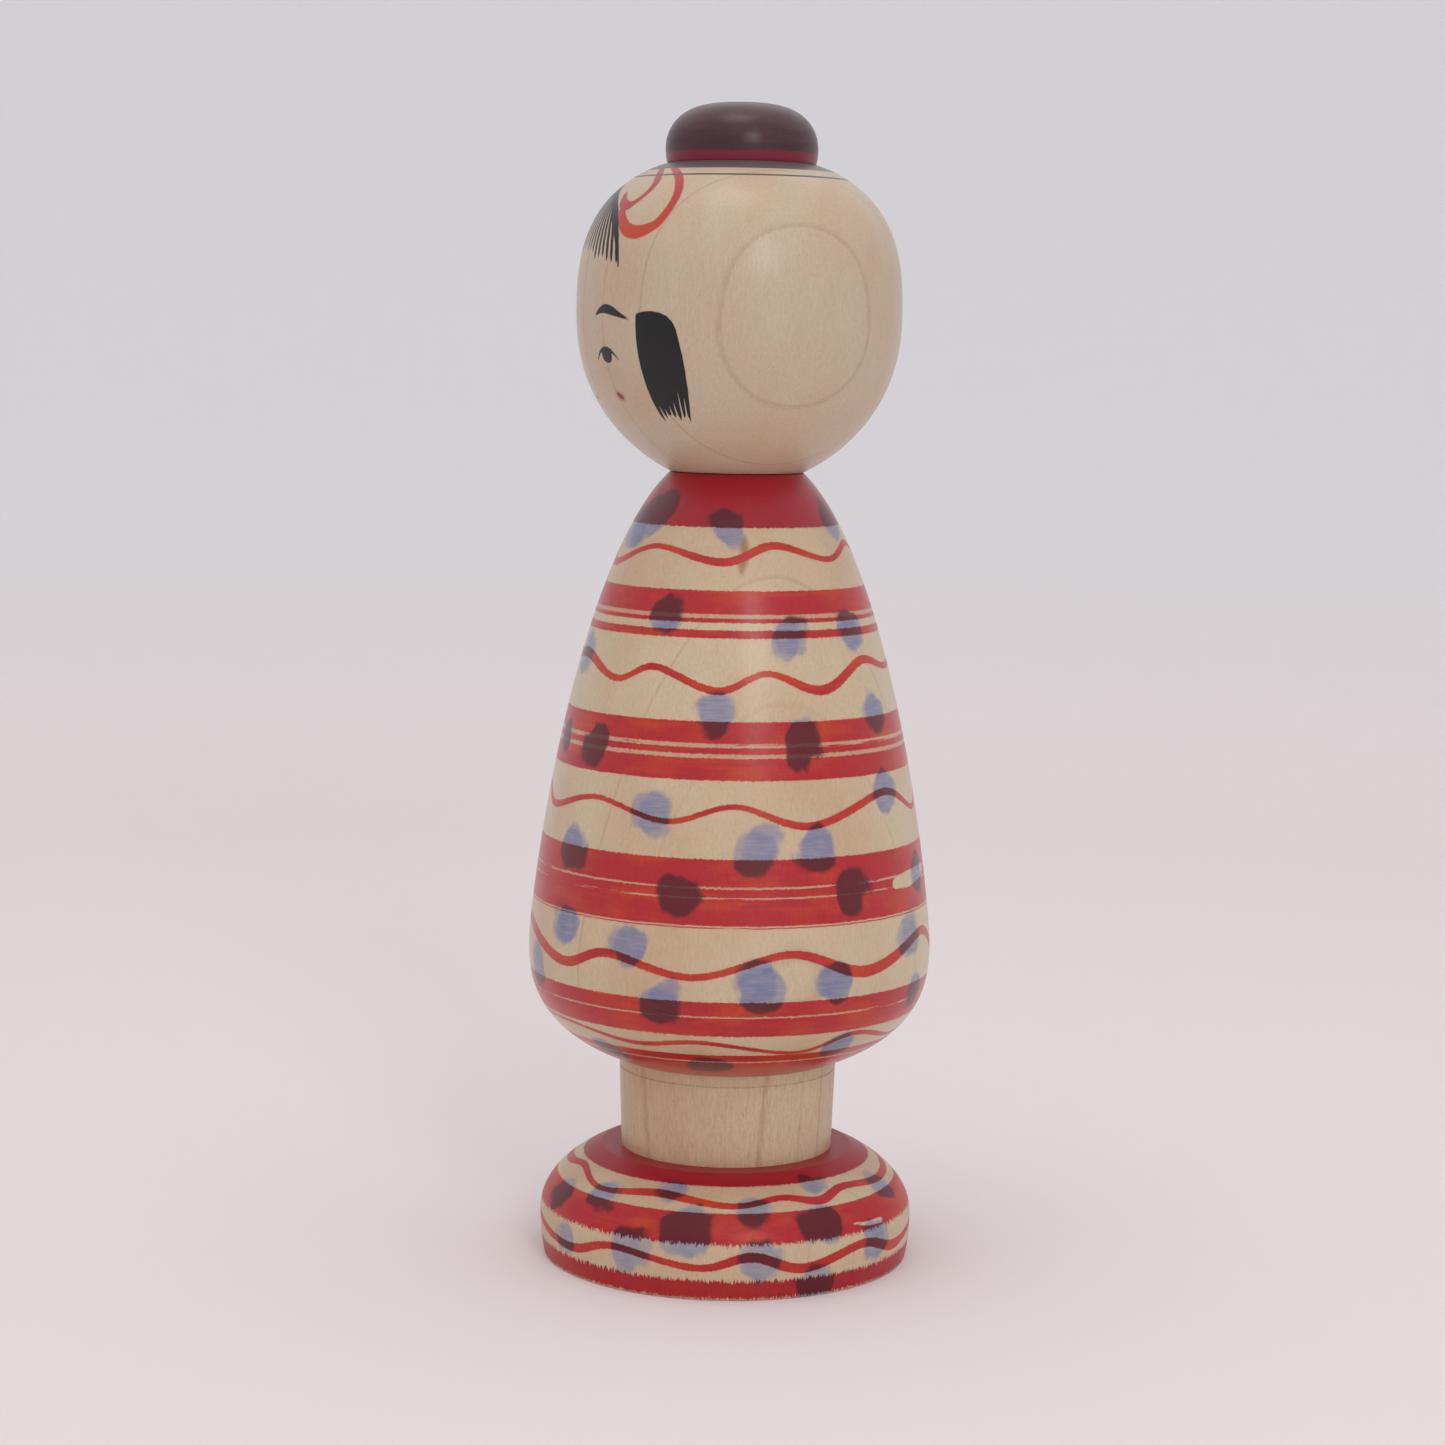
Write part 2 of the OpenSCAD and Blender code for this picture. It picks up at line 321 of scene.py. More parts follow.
def grown_wood(tree, pith, ring_gap, shift=0.0, ring=(0.3, 0.06, 0.22), drift_mm=1.2,
               pale="#D2C0A0", warm="#CBAD8E", line="#8C6B4C", flecks=1.0, lean=0.0):
    """Bare mizuki: growth rings round a pith that stands off the axis, and fine upright fibres.

    Shift moves all rings outwards, counted in rings. A ring is (width in millimetres, how dark the
    faintest is, how dark the clearest is). Flecks is how strongly the fibres and pores show. Lean is
    how far a ring leans outwards for each millimetre up. Returns the millimetre coordinate, the
    wood's colour and the height of its fibres.
    """
    object_place = put(tree, "ShaderNodeTexCoord").outputs["Object"]
    mm = put(tree, "ShaderNodeVectorMath", {0: object_place, 1: (1000, 1000, 1000)}, operation="MULTIPLY")
    # rings: distance from the pith, pushed about a little as a real stem grows
    off = put(tree, "ShaderNodeVectorMath", {0: mm, 1: (*pith, 0)}, operation="SUBTRACT")
    flat = put(tree, "ShaderNodeVectorMath", {0: off, 1: (1, 1, 0)}, operation="MULTIPLY")
    distance = put(tree, "ShaderNodeVectorMath", {0: flat}, operation="LENGTH").outputs[1]
    drift_at = put(tree, "ShaderNodeVectorMath", {0: mm, 1: (0.045, 0.045, 0.012)}, operation="MULTIPLY")
    drift = put(tree, "ShaderNodeTexNoise", {"Vector": drift_at, "Scale": 1.0, "Detail": 2.0})
    pushed = put(tree, "ShaderNodeMath", {0: drift, 1: drift_mm, 2: distance}, operation="MULTIPLY_ADD")
    up = put(tree, "ShaderNodeSeparateXYZ", {0: mm}).outputs["Z"]
    pushed = put(tree, "ShaderNodeMath", {0: up, 1: -lean, 2: pushed}, operation="MULTIPLY_ADD")
    years = put(tree, "ShaderNodeMath", {0: pushed, 1: 1 / ring_gap, 2: -shift}, operation="MULTIPLY_ADD")
    uneven = put(tree, "ShaderNodeTexNoise", {"W": years, "Scale": 0.7, "Detail": 1.0},
                 noise_dimensions="1D")
    years = put(tree, "ShaderNodeMath", {0: uneven, 1: 0.5, 2: years}, operation="MULTIPLY_ADD")
    season = put(tree, "ShaderNodeMath", {0: years}, operation="FRACT")
    # the dark line builds up towards the year's end and breaks off sharply
    thin = ring[0] / ring_gap
    darkest = 0.96
    late = put(tree, "ShaderNodeMapRange",
               {"Value": season, "From Min": darkest - thin, "From Max": darkest},
               interpolation_type="SMOOTHSTEP")
    ended = put(tree, "ShaderNodeMapRange",
                {"Value": season, "From Min": darkest, "From Max": darkest + thin / 2, "To Min": 1.0,
                 "To Max": 0.0},
                interpolation_type="SMOOTHSTEP")
    season_end = put(tree, "ShaderNodeMath", {0: late, 1: ended}, operation="MULTIPLY")
    year = put(tree, "ShaderNodeMath", {0: years}, operation="FLOOR")
    hard_year = put(tree, "ShaderNodeTexNoise", {"W": year, "Scale": 3.7, "Detail": 0.0},
                    noise_dimensions="1D")
    clear = put(tree, "ShaderNodeMapRange",
                {"Value": hard_year, "From Min": 0.35, "From Max": 0.65, "To Min": ring[1],
                 "To Max": ring[2]})
    growth = put(tree, "ShaderNodeMath", {0: season_end, 1: clear}, operation="MULTIPLY")
    # fibres: fine upright flecks, drawn a little coarser than real ones so that they show
    fibre_at = put(tree, "ShaderNodeVectorMath", {0: mm, 1: (3.6, 3.6, 0.45)}, operation="MULTIPLY")
    fibre = put(tree, "ShaderNodeTexNoise",
                {"Vector": fibre_at, "Scale": 1.0, "Detail": 4.0, "Roughness": 0.6})
    pore_at = put(tree, "ShaderNodeVectorMath", {0: mm, 1: (6.5, 6.5, 0.75)}, operation="MULTIPLY")
    pore = put(tree, "ShaderNodeTexNoise", {"Vector": pore_at, "Scale": 1.0, "Detail": 1.0})
    pore = put(tree, "ShaderNodeMapRange",
               {"Value": pore, "From Min": 0.66, "From Max": 0.78, "To Max": 0.20 * flecks})
    # broad warmth: pinker heart side, yellower sap side, with soft clouds
    cloud_at = put(tree, "ShaderNodeVectorMath", {0: mm, 1: (0.07, 0.07, 0.03)}, operation="MULTIPLY")
    cloud = put(tree, "ShaderNodeTexNoise", {"Vector": cloud_at, "Scale": 1.0, "Detail": 3.0})
    tone = put(tree, "ShaderNodeMapRange", {"Value": cloud, "From Min": 0.34, "From Max": 0.66})
    colour = put(tree, "ShaderNodeMix", {0: tone, 6: linear(pale), 7: linear(warm)}, data_type="RGBA")
    fleck = put(tree, "ShaderNodeMapRange",
                {"Value": fibre, "From Min": 0.3, "From Max": 0.7, "To Min": 0.0,
                 "To Max": 0.16 * flecks})
    dark = put(tree, "ShaderNodeMath", {0: fleck, 1: growth}, operation="ADD")
    # the tooth that sanding leaves, also drawn coarser than real
    sand_at = put(tree, "ShaderNodeVectorMath", {0: mm, 1: (3.0, 3.0, 1.8)}, operation="MULTIPLY")
    sand = put(tree, "ShaderNodeTexNoise", {"Vector": sand_at, "Scale": 1.0, "Detail": 2.0})
    sand = put(tree, "ShaderNodeMapRange",
               {"Value": sand, "From Min": 0.35, "From Max": 0.70, "To Max": 0.12})
    dark = put(tree, "ShaderNodeMath", {0: dark, 1: sand}, operation="ADD")
    dark = put(tree, "ShaderNodeMath", {0: dark, 1: pore}, operation="ADD", use_clamp=True)
    colour = put(tree, "ShaderNodeMix", {0: dark, 6: colour.outputs[2], 7: linear(line)}, data_type="RGBA")
    return mm, colour.outputs[2], fibre


def waxed(tree, colour, fibre, mm, roughness, coat):
    """Ends a material as rubbed wax: a soft sheen over fibres and fine lathe rings."""
    grain = 0.02  # how far the fibres stand out, in millimetres
    ring_at = put(tree, "ShaderNodeVectorMath", {0: mm, 1: (0.04, 0.04, 3.2)}, operation="MULTIPLY")
    rings = put(tree, "ShaderNodeTexNoise", {"Vector": ring_at, "Scale": 1.0, "Detail": 2.0})
    height = put(tree, "ShaderNodeMath", {0: rings, 1: 0.6, 2: fibre}, operation="MULTIPLY_ADD")
    bump = put(tree, "ShaderNodeBump", {"Height": height, "Strength": 0.5, "Distance": grain * MM})
    shader = put(tree, "ShaderNodeBsdfPrincipled",
                 {"Base Color": colour, "Normal": bump, "Roughness": roughness,
                  "IOR": 1.33, "Coat Weight": coat, "Coat Roughness": 0.26, "Coat IOR": 1.33})
    put(tree, "ShaderNodeOutputMaterial", {"Surface": shader})


def new_material(name):
    """An empty node material of that name."""
    material = bpy.data.materials.new(name)
    material.use_nodes = True
    material.node_tree.nodes.clear()
    return material


def painted_wood(name, bands, pith, ring_gap, bleed=0.35, thirsty=None, blue=("#5F6892", "#8086A6"),
                 roughness=0.38, coat=0.7):
    """Red-dyed mizuki. Dye held to the spinning wood lies in level bands whose edges creep along
    the fibres; brushed waves go over it, and blue dabs that turn maroon where they cross the red.

    A band is (lower edge, upper edge, how full of dye). Less than about 0.5 leaves broken, bare
    lines. Thirsty is (height, bleed) of wood further down that drinks more of the dye.
    """
    material = new_material(name)
    tree = material.node_tree
    mm, wood, fibre = grown_wood(tree, pith, ring_gap)
    # a pin knot: a twig's brown speck, drawn out along the fibres
    knot = put(tree, "ShaderNodeAttribute", attribute_name="pin_knot")
    speck = put(tree, "ShaderNodeMapRange",
                {"Value": knot.outputs["Fac"], "From Min": 0.7, "From Max": -0.5, "To Max": 0.75},
                interpolation_type="SMOOTHSTEP")
    wood = put(tree, "ShaderNodeMix", {0: speck, 6: wood, 7: linear("#8A5A26")},
               data_type="RGBA").outputs[2]
    place = put(tree, "ShaderNodeSeparateXYZ", {0: mm})
    # the dye creeps up and down the fibres: fine spikes, tallest where the wood drank most
    creep_at = put(tree, "ShaderNodeVectorMath", {0: mm, 1: (4.6, 4.6, 0.08)}, operation="MULTIPLY")
    creep = put(tree, "ShaderNodeTexNoise",
                {"Vector": creep_at, "Scale": 1.0, "Detail": 2.0, "Roughness": 0.7})
    creep = put(tree, "ShaderNodeMapRange",
                {"Value": creep, "From Min": 0.25, "From Max": 0.75, "To Min": -0.5,
                 "To Max": 0.5})
    thirst = bleed
    if thirsty:
        thirst = put(tree, "ShaderNodeMapRange",
                    {"Value": place.outputs["Z"], "From Min": thirsty[0] - 1, "From Max": thirsty[0] + 1,
                     "To Min": thirsty[1], "To Max": bleed})
    level = put(tree, "ShaderNodeMath", {0: creep, 1: thirst, 2: place.outputs["Z"]},
                operation="MULTIPLY_ADD")
    held = 0.0
    for low, high, full in bands:
        inside = put(tree, "ShaderNodeMath",
                     {0: level, 1: (low + high) / 2, 2: (high - low) / 2},
                     operation="COMPARE")
        held = put(tree, "ShaderNodeMath", {0: inside, 1: full, 2: held}, operation="MULTIPLY_ADD")
    # streaks that the spinning wood leaves in the dye
    streak_at = put(tree, "ShaderNodeVectorMath", {0: mm, 1: (0.07, 0.07, 1.9)}, operation="MULTIPLY")
    streak = put(tree, "ShaderNodeTexNoise",
                 {"Vector": streak_at, "Scale": 1.0, "Detail": 4.0, "Roughness": 0.6})
    dry = put(tree, "ShaderNodeMath", {0: held, 1: streak}, operation="GREATER_THAN")
    # thin lines that the dye missed are still tinted, because it runs in from both sides
    damp = put(tree, "ShaderNodeMath", {0: held, 1: 0.2}, operation="GREATER_THAN")
    tint = put(tree, "ShaderNodeMath", {0: damp, 1: 0.3}, operation="MULTIPLY")
    dry = put(tree, "ShaderNodeMath", {0: dry, 1: tint}, operation="MAXIMUM")
    # where the ring of dye was lifted off, the wood stays bare and the edge is ragged
    bare = put(tree, "ShaderNodeAttribute", attribute_name="bare")
    ragged_bare = put(tree, "ShaderNodeMath", {0: streak, 1: 1.1, 2: bare.outputs["Fac"]},
                      operation="MULTIPLY_ADD")
    covered = put(tree, "ShaderNodeMapRange", {"Value": ragged_bare, "From Min": 0.42, "From Max": 0.58})
    dry = put(tree, "ShaderNodeMath", {0: dry, 1: covered}, operation="MULTIPLY")
    # brushed waves
    wave = put(tree, "ShaderNodeAttribute", attribute_name="wave")
    edge_creep = put(tree, "ShaderNodeMath", {0: creep, 1: 0.25, 2: wave.outputs["Fac"]},
                     operation="MULTIPLY_ADD")
    wave_mask = put(tree, "ShaderNodeMapRange",
                    {"Value": edge_creep, "From Min": 0.07, "From Max": -0.07},
                    interpolation_type="SMOOTHSTEP")
    red_mask = put(tree, "ShaderNodeMath", {0: dry, 1: wave_mask}, operation="MAXIMUM")
    # crimson where the dye is thick, orange where it was drawn thin
    thin_at = put(tree, "ShaderNodeVectorMath", {0: mm, 1: (0.10, 0.10, 0.30)}, operation="MULTIPLY")
    thin = put(tree, "ShaderNodeTexNoise", {"Vector": thin_at, "Scale": 1.0, "Detail": 3.0})
    both = put(tree, "ShaderNodeMath", {0: streak, 1: 0.3, 2: thin}, operation="MULTIPLY_ADD")
    brushed_on = put(tree, "ShaderNodeMath", {0: wave_mask, 1: 0.08, 2: both}, operation="MULTIPLY_ADD")
    orange = put(tree, "ShaderNodeMapRange", {"Value": brushed_on, "From Min": 0.61, "From Max": 0.84})
    red = put(tree, "ShaderNodeMix",
              {0: orange, 6: linear("#B12029"), 7: linear("#BE3A1E")}, data_type="RGBA")
    # bands that were held longest are full of dye and darker
    soaked = put(tree, "ShaderNodeMapRange", {"Value": held, "From Min": 0.86, "From Max": 1.0})
    red = put(tree, "ShaderNodeMix", {0: soaked, 6: red.outputs[2], 7: linear("#A01525")}, data_type="RGBA")
    grainy = put(tree, "ShaderNodeMapRange",
                 {"Value": fibre, "From Min": 0.3, "From Max": 0.7, "To Min": 1.08, "To Max": 0.86})
    red = put(tree, "ShaderNodeVectorMath", {0: red.outputs[2], "Scale": grainy}, operation="SCALE")
    body = put(tree, "ShaderNodeMix", {0: red_mask, 6: wood, 7: red}, data_type="RGBA")
    # blue dabs: bristle-marked, feathered on one side
    dab = put(tree, "ShaderNodeAttribute", attribute_name="dab")
    load = put(tree, "ShaderNodeAttribute", attribute_name="dab_load")
    rough_at = put(tree, "ShaderNodeVectorMath", {0: mm, 1: (0.55, 0.55, 0.45)}, operation="MULTIPLY")
    rough = put(tree, "ShaderNodeTexNoise",
                {"Vector": rough_at, "Scale": 1.0, "Detail": 4.0, "Roughness": 0.5})
    ragged = put(tree, "ShaderNodeMapRange",
                 {"Value": rough, "From Min": 0.25, "From Max": 0.75, "To Min": -0.3,
                  "To Max": 0.3})
    ragged = put(tree, "ShaderNodeMath", {0: ragged, 1: dab.outputs["Fac"]}, operation="ADD")
    ragged = put(tree, "ShaderNodeMath", {0: creep, 1: 0.15, 2: ragged}, operation="MULTIPLY_ADD")
    lobe_at = put(tree, "ShaderNodeVectorMath", {0: mm, 1: (0.28, 0.28, 0.24)}, operation="MULTIPLY")
    lobe = put(tree, "ShaderNodeTexNoise", {"Vector": lobe_at, "Scale": 1.0, "Detail": 1.0})
    lobe = put(tree, "ShaderNodeMapRange",
               {"Value": lobe, "From Min": 0.3, "From Max": 0.7, "To Min": -0.35, "To Max": 0.35})
    ragged = put(tree, "ShaderNodeMath", {0: ragged, 1: lobe}, operation="ADD")
    laid = put(tree, "ShaderNodeMapRange",
               {"Value": ragged, "From Min": 0.36, "From Max": -0.40},
               interpolation_type="SMOOTHSTEP")
    bristle_at = put(tree, "ShaderNodeVectorMath", {0: mm, 1: (0.3, 0.3, 3.4)}, operation="MULTIPLY")
    bristle = put(tree, "ShaderNodeTexNoise", {"Vector": bristle_at, "Scale": 1.0, "Detail": 2.0})
    bristle = put(tree, "ShaderNodeMapRange",
                  {"Value": bristle, "From Min": 0.38, "From Max": 0.62, "To Min": 1.0,
                   "To Max": 0.78})
    wet = put(tree, "ShaderNodeMath", {0: laid, 1: load.outputs["Fac"]}, operation="MULTIPLY")
    wet = put(tree, "ShaderNodeMath", {0: wet, 1: bristle}, operation="MULTIPLY")
    on_wood = put(tree, "ShaderNodeMix",
                  {0: rough, 6: linear(blue[0]), 7: linear(blue[1])}, data_type="RGBA")
    # the blue runs into the red, so thin bare lines between two bands darken too
    damp = put(tree, "ShaderNodeMath", {0: damp, 1: covered}, operation="MULTIPLY")
    damp = put(tree, "ShaderNodeMath", {0: damp, 1: red_mask}, operation="MAXIMUM")
    ink = put(tree, "ShaderNodeMix",
              {0: damp, 6: on_wood.outputs[2], 7: linear("#4E0F1C")}, data_type="RGBA")
    # over the red it soaks in deeply, and brush marks hardly show
    deep = put(tree, "ShaderNodeMath", {0: damp, 1: 0.90}, operation="MULTIPLY")
    deep = put(tree, "ShaderNodeMath", {0: deep, 1: laid}, operation="MULTIPLY")
    wet = put(tree, "ShaderNodeMath", {0: wet, 1: deep}, operation="MAXIMUM")
    body = put(tree, "ShaderNodeMix", {0: wet, 6: body.outputs[2], 7: ink.outputs[2]}, data_type="RGBA")
    waxed(tree, body.outputs[2], fibre, mm, roughness=roughness, coat=coat)
    return material


stem_tenon = 9.0
glue_line = 0.1
foot_low, foot_high = (v.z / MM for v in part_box("foot"))
foot_swell_h = 7.0
foot_inset = 0.7
foot_ledge_r = 20.0
foot_wide = [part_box("foot")[1].x / MM, foot_swell_h]
foot_side = np.vstack([
    turned_curve(foot_wide, [foot_wide[0] - foot_inset, foot_low], [2.2, 2.2])[:0:-1],
    turned_curve(foot_wide, [foot_ledge_r, foot_high], [2.0, 2.2]),
])
foot_bore = stem_tenon + glue_line
foot_bore_floor = 8.1
foot_outline = eased([
    *straight((0, foot_low, 4), foot_side[0]),
    foot_side,
    *straight((*foot_side[-1], 0.8), (foot_bore, foot_high, 4), (foot_bore, foot_bore_floor, 4),
              (0, foot_bore_floor)),
])
# angles are degrees from the front towards the doll's left, heights and widths millimetres: a wave
# is points (angle, height), a dab (angle, height, size), and any other mark (angle, height, width)
foot_bands = [(0.3, 3.2, 0.95), (8.8, 13.1, 0.85), (16.2, 17.7, 1.0)]
foot_waves = [
    [(-9, 15), (7, 15.6), (27, 14.2), (52, 15), (78, 14), (96, 14.8), (110, 14), (123, 15), (145, 14.4)],
    [(-8, 6.5), (12, 5.2), (25, 5), (41, 7), (68, 5.2), (84, 7), (100, 4.8), (122, 7), (138, 5), (154, 5.8)],
]
foot_dabs = [
    (9, 11.5, 0.9), (30, 13.5, 0.8), (56, 15.5, 0.6), (65, 10.5, 1.15), (85, 13.5, 0.8),
    (108, 11, 1.0), (111, 16, 0.65), (143, 13.5, 0.8), (19, 6, 0.7), (46, 6.8, 1.0), (87, 6.4, 0.95),
    (128, 7.2, 0.95), (104, 2, 0.9),
]
foot_knot = [(-96, 15, 0.4), (-96, 14.2, 0.3)]
foot_bare = [(119, 10.3, 0.3), (125, 9.8, 0.7), (132, 9.6, 0.9)]
foot_paint = painted_wood("waxed_mizuki_with_red_dye_foot", foot_bands,
                          (-50, 30), 5.0, bleed=0.25, thirsty=(11, 1.3), blue=("#6E7694", "#8F96AC"),
                          roughness=0.50, coat=0.35)
foot = turned_piece("foot_painted", foot_outline, 440, 1.0, foot_paint)
store_marks(foot, foot_side, np.random.default_rng(3), foot_waves, [1.3, 1.4], foot_knot, foot_bare,
            foot_dabs, 0.8)
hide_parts("foot")
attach(foot, "torso")

# ---------------------------------------------------------------------------------------------
# STEM. A plain neck of bare wood between the foot and the body, with a glued tenon at each end.
# It was left unpainted and waxed, and the turner scored one thin line just under the body.

stem_low = foot_outline[:, 1].max()
stem_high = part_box("body")[0].z / MM
stem_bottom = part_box("stem")[0].z / MM
stem_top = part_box("stem")[1].z / MM
stem_bottom_r = 16.8
stem_top_r = 17.3
# the scored line is a fine V
score = 30.5
score_half = 0.15
score_depth = 0.16
score_r = np.interp(score, [stem_low, stem_high], [stem_bottom_r, stem_top_r])
stem_outline = eased(straight(
    (0, stem_bottom, 3),
    (stem_tenon, stem_bottom, 3),
    (stem_tenon, stem_low, 3),
    (stem_bottom_r, stem_low, 0.4),
    (score_r, score - score_half, 0.1),
    (score_r - score_depth, score, 0.1),
    (score_r, score + score_half, 0.4),
    (stem_top_r, stem_high, 3),
    (stem_tenon, stem_high, 3),
    (stem_tenon, stem_top, 3),
    (0, stem_top),
), soft=0.06)
stem_wood = new_material("waxed_bare_mizuki_stem")
tree = stem_wood.node_tree
mm, colour, fibre = grown_wood(tree, (-31.8, 16.9), 3.4, shift=0.44, ring=(0.5, 0.10, 0.24), drift_mm=0.8,
                               pale="#D6C3A3", warm="#D0B092", line="#8E6845", flecks=1.9)
waxed(tree, colour, fibre, mm, roughness=0.50, coat=0.4)
stem = turned_piece("stem_bare", stem_outline, 240, 1.0, stem_wood)
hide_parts("stem")
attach(stem, "torso")

# ---------------------------------------------------------------------------------------------
# BODY. The drop-shaped dress, turned from one billet and dyed and brushed like the foot. Its
# socket at the top has a groove inside, where the bead of the head's tenon snaps home and turns.

body_low, body_high = (v.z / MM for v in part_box("body"))
body_swell_h = 18.8
body_foot_r = 17.5
body_wide = [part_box("body")[1].x / MM, body_low + body_swell_h]
neck_r = 10.5
body_side = np.vstack([
    turned_curve(body_wide, [body_foot_r, body_low], [2.7, 1.96], 0.5)[:0:-1],
    turned_curve(body_wide, [neck_r, body_high], [1.26, 2.44], 0.5),
])
stem_bore = stem_tenon + glue_line
stem_bore_top = body_low + 14.5
# the head's tenon, its bead, and the socket and groove that leave them room to turn
neck_gap = 0.1
turn_gap = 0.05
tenon = 7.5
bead = 0.5
bead_slope = 1
bead_top = body_high - 6
bead_bottom = bead_top - 4
socket = tenon + turn_gap
socket_floor = body_high + neck_gap - 18.5
groove_top = bead_top + turn_gap
groove_bottom = bead_bottom - turn_gap
body_outline = eased([
    *straight((0, stem_bore_top, 4), (stem_bore, stem_bore_top, 4), (stem_bore, body_low, 1.5),
              body_side[0]),
    body_side,
    *straight((*body_side[-1], 0.8), (socket, body_high, 3), (socket, groove_top, 0.5),
              (socket + bead, groove_top - bead_slope, 1),
              (socket + bead, groove_bottom + bead_slope, 0.5), (socket, groove_bottom, 3),
              (socket, socket_floor, 4), (0, socket_floor)),
], soft=0.15)
body_bands = [
    (32.0, 36.2, 0.85), (36.4, 37.7, 0.85), (41.2, 44.25, 0.85), (44.25, 44.5, 0.46), (44.5, 46.8, 0.85),
    (57.9, 58.1, 0.6), (58.3, 62.3, 0.85), (62.3, 62.55, 0.46), (62.55, 63.8, 0.85), (63.8, 64.1, 0.42),
    (64.1, 68.2, 0.85), (79.8, 83.1, 0.85), (83.1, 83.7, 0.3), (83.7, 84.65, 0.85), (84.65, 85.25, 0.4),
    (85.25, 88.5, 0.85), (100.75, 101.95, 0.85), (103.05, 103.7, 0.85), (103.7, 104.3, 0.3),
    (104.3, 107.8, 0.85), (117.1, 126.0, 1.0),
]
body_waves = [
    [(19, 40.5), (46, 39), (68, 40), (98, 38), (117, 40.5), (140, 38.5), (165, 40)],
    [(-8, 55), (22, 50.5), (40, 53), (66, 50.5), (93, 54), (117, 50.5), (146, 54.5), (162, 51)],
    [(-9, 76), (5, 73.5), (30, 76), (56, 73.5), (77, 76), (100, 73), (131, 77), (152, 73.5)],
    [(4, 97), (29, 94), (46, 96.2), (70, 93), (88, 95.6), (109, 93), (131, 97), (152, 95.5)],
    [(-2, 111), (33, 114), (70, 112), (95, 114.5), (126, 112.3), (152, 114.5)],
]
body_dabs = [
    (11, 117.4, 1.35), (21, 118.8, 1.3), (72, 117, 0.95), (144, 118, 1.0),
    (48, 104, 1.0), (97, 101, 1.0), (128, 101.5, 1.0),
    (2, 97, 1.0), (70, 90, 0.9), (134, 89, 0.9), (3, 84, 0.8), (25, 83.5, 0.95), (99, 85, 1.0),
    (51, 74.5, 1.0), (132, 77, 1.0), (21, 67.5, 1.0), (84, 69.5, 1.1), (102, 69.5, 1.0), (148, 63.5, 0.9),
    (61, 62.5, 1.0), (113, 63, 0.9), (23, 56, 0.9), (47, 54.5, 0.95), (138, 54.5, 1.0), (6, 48, 1.0),
    (57, 46, 1.0), (84, 49, 1.15), (106, 49.5, 1.0), (142, 45.5, 0.8), (113, 38.5, 0.9), (31, 36.5, 0.8),
    (69, 35.5, 0.9),
]
body_knot = [(80.4, 115.8, 0.2), (80.0, 114.4, 1.3), (80.4, 113.2, 1.0), (79.2, 111.9, 1.2),
             (78.6, 110.4, 0.2)]
body_bare = [(132, 62.9, 1.9), (138, 63.1, 2.6), (146, 63.4, 2.5), (154, 63.7, 1.8)]
body_paint = painted_wood("waxed_mizuki_with_red_dye_body", body_bands, (-56, -4), 6.0)
body = turned_piece("body_painted", body_outline, 440, 1.0, body_paint)
store_marks(body, body_side, np.random.default_rng(11), body_waves, [0.9, 1.5, 1.0, 1.3, 1.2], body_knot,
            body_bare, body_dabs, 1.0)
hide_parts("body")
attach(body, "torso")

# ---------------------------------------------------------------------------------------------
# HEAD. A ball of the same wood, turned in one with its beaded tenon, which squeaks as it turns in
# the socket. The face, fringe and side locks were brushed in ink, the hair ribbons in red dye.

head_low = body_high + neck_gap
head_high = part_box("head")[1].z / MM
head_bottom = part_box("head")[0].z / MM
head_swell_h = 24.8
head_wide = [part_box("head")[1].x / MM, head_low + head_swell_h]
crown_r = 11.55
head_side = np.vstack([
    turned_curve(head_wide, [neck_r, head_low], [2.25, 1.74], 0.33)[:0:-1],
    turned_curve(head_wide, [crown_r, head_high], [2.62, 2.47], 0.33),
])
peg = 4.0
peg_bore = peg + glue_line
peg_bore_floor = head_high - 10.5
head_outline = eased([
    *straight((0, head_bottom, 4), (tenon, head_bottom, 4), (tenon, bead_bottom, 0.6),
              (tenon + bead, bead_bottom + bead_slope, 1.2), (tenon + bead, bead_top - bead_slope, 0.6),
              (tenon, bead_top, 3), (tenon, head_low, 1.5), (neck_r, head_low)),
    head_side,
    *straight((crown_r, head_high, 3), (peg_bore, head_high, 4), (peg_bore, peg_bore_floor, 3),
              (0, peg_bore_floor)),
], soft=0.12)

# strokes on the doll's left half, each point (angle, height, width); the right half mirrors them
brow = [(16.6, 149.0, 0.3), (19.3, 149.6, 0.9), (22.5, 149.9, 1.4), (26.3, 149.6, 1.35),
        (30.3, 149.0, 0.8), (34.8, 148.3, 0.25)]
lid = [(15.3, 142.2, 0.25), (17.6, 143.3, 0.4), (21, 143.9, 0.65), (24.6, 143.6, 0.5), (28.5, 142.2, 0.25)]
pupil = [(21.3, 142.9, 2.2), (22.2, 142.8, 2.2)]
cheek = [(22.6, 136.9, 1.0), (24, 136.6, 0.95)]
mouth = [(0, 136.3, 0.5), (1.0, 136.4, 0.2)]
outer_loop = [(22, 171.8, 0.9), (32, 171.3, 1.2), (42, 170, 1.5), (47, 168.2, 1.6), (47.8, 166.3, 1.55),
              (46, 164.2, 1.6), (42.5, 162.4, 1.8), (36, 161.4, 2.3), (30, 161.7, 2.3), (25.5, 163, 2.0),
              (21.5, 164.8, 1.6)]
inner_loop = [(10, 171.8, 0.9), (22, 171.2, 1.2), (30, 169.6, 1.5), (32, 168.2, 1.3), (30.3, 166.9, 1.1),
              (27, 165.9, 1.3), (23.5, 165.4, 2.0), (19, 166, 1.8), (15.4, 167.3, 1.1)]
ribbon_wash = [(-6, 170.2, 0.5), (5, 170.9, 0.6), (12, 171.3, 0.6), (24, 171.4, 0.6)]

